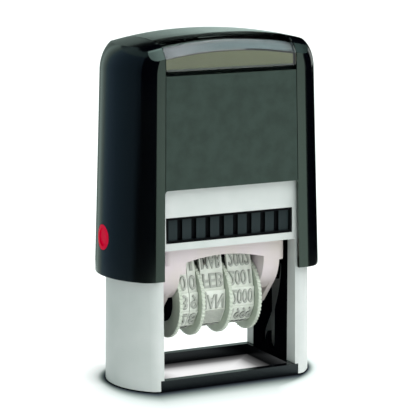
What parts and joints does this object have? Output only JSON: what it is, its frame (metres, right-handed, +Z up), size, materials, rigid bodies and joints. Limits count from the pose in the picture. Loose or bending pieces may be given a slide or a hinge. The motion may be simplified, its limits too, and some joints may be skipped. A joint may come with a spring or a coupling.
{
  "type": "self-inking date stamp",
  "caption": "Desk date stamp: sprung press cap on a standing frame, a printing unit that turns over onto the paper, date bands on setting wheels, and a slide-out ink cartridge.",
  "frame": {"origin": "middle of the underside of the foot ring, on the table", "axes": "+X to the right along the front, +Y to the back, +Z up"},
  "size_m": [0.0688, 0.0338, 0.1034],
  "materials": {
    "cap_black": "glossy black ABS",
    "panel_dark": "matt dark grey-green",
    "cover_clear": "clear, polished",
    "card_grey": "plain printed card",
    "frame_grey": "pale grey ABS, satin",
    "works_black": "black acetal, satin to glossy",
    "tray_black": "black, satin",
    "pad_felt": "felt soaked with ink",
    "steel": "drawn wire",
    "button_red": "crimson, glossy",
    "housing_pale": "pinkish white, satin",
    "plate_rubber": "dark rubber",
    "band_rubber": "cream rubber",
    "wheel_olive": "olive-grey, satin"
  },
  "bodies": {
    "frame": {"frame_shell": "frame_grey", "base_ring": "works_black", "cam_wall_right": "works_black", "cam_wall_left": "works_black"},
    "cartridge": {"ink_tray": "tray_black", "ink_pad": "pad_felt"},
    "cap": {"cap_shell": "cap_black", "front_panel": "panel_dark", "rear_panel": "panel_dark", "label_card": "card_grey", "yoke": "works_black", "return_spring": "steel"},
    "cover": {"cover_window": "cover_clear"},
    "button_right": {"lock_button_right": "button_red"},
    "button_left": {"lock_button_left": "button_red"},
    "carrier": {"carrier_housing": "housing_pale", "band_bridge": "works_black", "text_plate": "plate_rubber", "wheel_axle": "steel", "axle_collar": "works_black", "day_tens_band": "band_rubber", "day_ones_band": "band_rubber", "month_band": "band_rubber", "year_band": "band_rubber"},
    "day_tens_wheel": {"day_tens_wheel": "wheel_olive"},
    "day_ones_wheel": {"day_ones_wheel": "wheel_olive"},
    "month_wheel": {"month_wheel": "wheel_olive"},
    "year_wheel": {"year_wheel": "wheel_olive"}
  },
  "joints": [
    {"name": "cap_press", "type": "slide", "parent": "frame", "child": "cap", "axis": [0, 0, -1], "range_m": [0, 0.0289], "stiffness_N_per_m": 300, "springref_m": -0.01, "deforming": ["return_spring"]},
    {"name": "carrier_flip", "type": "hinge", "parent": "cap", "child": "carrier", "pos_m": [0, 0, 0.0359], "axis": [1, 0, 0], "range_deg": [0, 180]},
    {"name": "cartridge_slide", "type": "slide", "parent": "frame", "child": "cartridge", "axis": [0, 1, 0], "range_m": [-0.03, 0]},
    {"name": "cover_lift", "type": "slide", "parent": "cap", "child": "cover", "axis": [0, 0, 1], "range_m": [0, 0.012]},
    {"name": "button_right_press", "type": "slide", "parent": "cap", "child": "button_right", "axis": [1, 0, 0], "range_m": [-0.0015, 0], "stiffness_N_per_m": 500, "springref_m": 0.001},
    {"name": "button_left_press", "type": "slide", "parent": "cap", "child": "button_left", "axis": [-1, 0, 0], "range_m": [-0.0015, 0], "stiffness_N_per_m": 500, "springref_m": 0.001},
    {"name": "day_tens_turn", "type": "hinge", "parent": "carrier", "child": "day_tens_wheel", "pos_m": [0, 0, 0.0237], "axis": [1, 0, 0], "continuous": true},
    {"name": "day_ones_turn", "type": "hinge", "parent": "carrier", "child": "day_ones_wheel", "pos_m": [0, 0, 0.0237], "axis": [1, 0, 0], "continuous": true},
    {"name": "month_turn", "type": "hinge", "parent": "carrier", "child": "month_wheel", "pos_m": [0, 0, 0.0237], "axis": [1, 0, 0], "continuous": true},
    {"name": "year_turn", "type": "hinge", "parent": "carrier", "child": "year_wheel", "pos_m": [0, 0, 0.0237], "axis": [1, 0, 0], "continuous": true}
  ],
  "couplings": [
    {"joint": "carrier_flip", "follows": "cap_press", "rad_per_m": 108.7}
  ]
}
